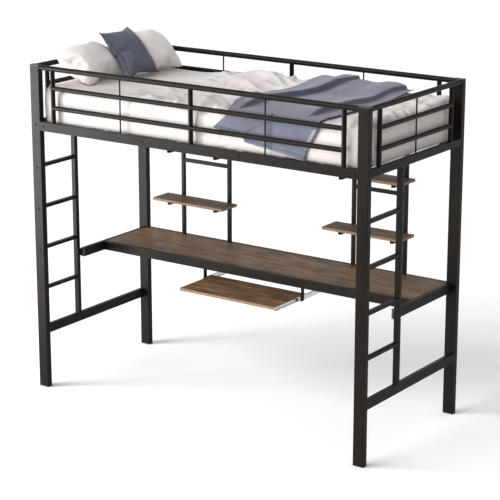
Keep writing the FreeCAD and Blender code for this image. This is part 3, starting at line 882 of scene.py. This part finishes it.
def throw_point(u, s, lift):
    """Point of the throw: u from its left edge to its right, s metres along it from the rear edge."""
    y, z, outward_y, outward_z, drop = throw_section(s)
    left, right = throw_sides(y, outward_z, drop)
    x = left + (right - left) * u
    rise = THROW_LIFT + 0.004 * perlin(x * 5, s * 5, 3.3) + 0.002 * perlin(x * 17, s * 13, 6.1)
    if outward_z > 0:
        rise += outward_z * max(0.0, cover_height(x, y))
    rise = max(rise, THROW_LEAST)
    fade = outward_z if drop == 0 else max(0.0, 1 - smoothstep(-0.03, 0.02, drop))
    height, crests = throw_folds(x, y)
    x += FOLD_LEAN * crests * fade
    rise += height * fade
    front = -outward_y
    edge = flap_edge(drop)
    step = (FLAP_STEP * smoothstep(edge - 0.010, edge + 0.020, u)
            - FLAP_GROOVE * math.exp(-((u - edge) / 0.012) ** 2))
    offset = rise * outward_z + (min(rise, FALL_LIFT) + step * front) * front
    offset = min(offset, FOLD_MOST if outward_z > 0.5 else FALL_MOST)
    return Vector((x, y + outward_y * (offset + lift), z + outward_z * (offset + lift)))


def throw_length(u):
    """Cut length at u: the left flap ends higher than the main fall, which runs lower to the right."""
    flap = FLAP_FALL[0] + FLAP_FALL[1] * u
    main = MAIN_FALL[0] + MAIN_FALL[1] * (u - 0.36)
    blend = smoothstep(0.335, 0.370, u)
    return THROW_RUN + THROW_ARC + flap * (1 - blend) + main * blend


def throw_stitches():
    """Row of slanting pale stitches down the right edge of the fall."""
    verts = []
    faces = []
    for k in range(STITCH_COUNT):
        s = throw_length(1.0) - STITCH_START + STITCH_PITCH * k
        first = throw_point(0.985, s, 0.0030)
        second = throw_point(0.958 - 0.006 * (k % 2), s + 0.006, 0.0034)
        more_verts, more_faces = tube([first.lerp(second, t / 4) for t in range(5)], STITCH_RADIUS)
        faces += [tuple(n + len(verts) for n in face) for face in more_faces]
        verts += more_verts
    return piece("throw_stitches", verts, faces, thread_pale, "navy_fabric")


def throw_fold_shadow_tube():
    """Rolled tube in dark trim along the main fall's edge where it lies over the left flap, from the bend
    down to the hem; its dark colour paints the shadow under that edge.
    """
    count = 80
    start = THROW_RUN + THROW_ARC * 0.2
    end = throw_length(flap_edge(1.0)) - 0.002
    path = []
    for k in range(count + 1):
        s = start + (end - start) * k / count
        path.append(throw_point(flap_edge(throw_section(s)[-1]), s, FOLDED_RADIUS))
    return piece("throw_fold_shadow_tube", *tube(path, FOLDED_RADIUS), navy_trim_and_shade, "navy_fabric")


def throw():
    """Woven throw across the foot end, with its hem, rolled edges, a folded-over edge whose dark tube paints
    the shadow under it, and stitches.
    """
    shares = [i / THROW_COLUMNS for i in range(THROW_COLUMNS + 1)]
    verts = []
    for j in range(THROW_ROWS + 1):
        verts += [throw_point(u, throw_length(u) * j / THROW_ROWS, 0.0) for u in shares]
    obj = piece("throw_cloth", verts, grid_faces(THROW_COLUMNS, THROW_ROWS), navy, "navy_fabric")
    if sum(face.normal.z for face in obj.data.polygons[:THROW_COLUMNS]) < 0:
        obj.data.flip_normals()
    thicken(obj, THROW_CLOTH, 1.0)
    hem = [throw_point(u, throw_length(u) - HEM_DEPTH, 0.0026) for u in shares]
    pieces = [piece("throw_hem", *tube(hem, HEM_RADIUS), navy_trim_and_shade, "navy_fabric")]
    for label, u in (("left", 0.004), ("right", 0.996)):
        edge = [throw_point(u, throw_length(u) * j / THROW_ROWS, 0.0014) for j in range(THROW_ROWS + 1)]
        pieces.append(piece("throw_edge_" + label, *tube(edge, EDGE_RADIUS), navy, "navy_fabric"))
    # The first of these is a dark tube that paints the shadow under the folded-over edge.
    pieces += [throw_fold_shadow_tube(), throw_stitches()]
    for extra in pieces:
        extra.parent = obj
    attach(obj, "bed")
    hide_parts("throw")


throw()


# ------------------------------------------------------------------ stage, light and camera
FLOOR_NEAR = -60.0
FLOOR_FAR = 16.0
FLOOR_COLUMNS = (-80.0, -40.0, 0.0, 40.0, 80.0)
FLOOR_ROWS = 48
# The share of the rows that lies flat; the rest curve up with this radius.
FLOOR_FLAT = 0.6
BACKDROP_RADIUS = 6.0
# The floor lies this far under the feet, so that the two don't flicker.
FLOOR_GAP = 0.0005
WORLD_STRENGTH = 0.62
# The camera's place, its tilt below level and its turn in degrees, and its lens and sensor in millimetres.
CAMERA_PLACE = (5.369, -7.613, 3.428)
CAMERA_TILT = 15.53
CAMERA_TURN = 34.97
CAMERA_LENS = 130.96
CAMERA_SENSOR = 36.0
CAMERA_REACH = 60.0


def stage():
    """Pale floor that curves up into a backdrop far behind the bed."""
    verts = []
    for j in range(FLOOR_ROWS + 1):
        t = j / FLOOR_ROWS
        if t < FLOOR_FLAT:
            y, z = FLOOR_NEAR + (FLOOR_FAR - FLOOR_NEAR) * t / FLOOR_FLAT, 0.0
        else:
            angle = (t - FLOOR_FLAT) / (1 - FLOOR_FLAT) * math.pi / 2
            y, z = FLOOR_FAR + BACKDROP_RADIUS * math.sin(angle), BACKDROP_RADIUS * (1 - math.cos(angle))
        verts += [(x, y, z - FLOOR_GAP) for x in FLOOR_COLUMNS]
    g = Graph("pale_floor")
    tone = g.noise(g.place(), 0.35, 2.0)
    g.join(g.ramp(tone, (0.3, times(WHITE, 0.93)), (0.7, times(WHITE, 0.95))), "Base Color")
    g.set(Roughness=0.9)
    piece("floor", verts, grid_faces(len(FLOOR_COLUMNS) - 1, FLOOR_ROWS), g.material)


def lamp(name, kind, power, colour, rotation, place=(0.0, 0.0, 0.0)):
    """New light; returns its object."""
    data = bpy.data.lights.new(name, kind)
    data.energy = power
    data.color = colour
    obj = bpy.data.objects.new(name, data)
    scene.collection.objects.link(obj)
    obj.location = place
    obj.rotation_euler = rotation
    return obj


def panel_light(name, place, aim, size, power, colour):
    """Rectangular soft panel that the camera doesn't see."""
    rotation = (Vector(aim) - Vector(place)).to_track_quat("-Z", "Y").to_euler()
    panel = lamp(name, "AREA", power, colour, rotation, place)
    panel.data.shape = "RECTANGLE"
    panel.data.size, panel.data.size_y = size
    panel.visible_camera = False


def far_light(name, azimuth, elevation, angle, strength, colour):
    """Broad soft light from far away; azimuth is measured from the front (-Y) towards the head end."""
    a, e = math.radians(azimuth), math.radians(elevation)
    source = Vector((-math.sin(a) * math.cos(e), -math.cos(a) * math.cos(e), math.sin(e)))
    sun = lamp(name, "SUN", strength, colour, source.to_track_quat("Z", "Y").to_euler())
    sun.data.angle = math.radians(angle)


def studio_world():
    """Even white light from all round."""
    world = bpy.data.worlds.new("studio")
    world.use_nodes = True
    background = world.node_tree.nodes["Background"]
    background.inputs["Color"].default_value = (*WHITE, 1.0)
    background.inputs["Strength"].default_value = WORLD_STRENGTH
    scene.world = world


def camera():
    """Camera at the height and angle of a person looking down the bed from its front right."""
    data = bpy.data.cameras.new("camera")
    data.lens = CAMERA_LENS
    data.sensor_width = CAMERA_SENSOR
    data.clip_end = CAMERA_REACH
    obj = bpy.data.objects.new("camera", data)
    scene.collection.objects.link(obj)
    obj.location = CAMERA_PLACE
    obj.rotation_euler = (math.radians(90 - CAMERA_TILT), 0.0, math.radians(CAMERA_TURN))
    scene.camera = obj


stage()
far_light("front_left", azimuth=35, elevation=27, angle=50, strength=3.3, colour=(1.0, 0.99, 0.975))
panel_light("panel_left", place=(-4.1, -3.1, 0.6), aim=(-1.0, -0.4, 1.1), size=(1.3, 2.2), power=400.0,
            colour=(1.0, 0.995, 0.99))
studio_world()
camera()
scene.view_settings.view_transform = "Standard"
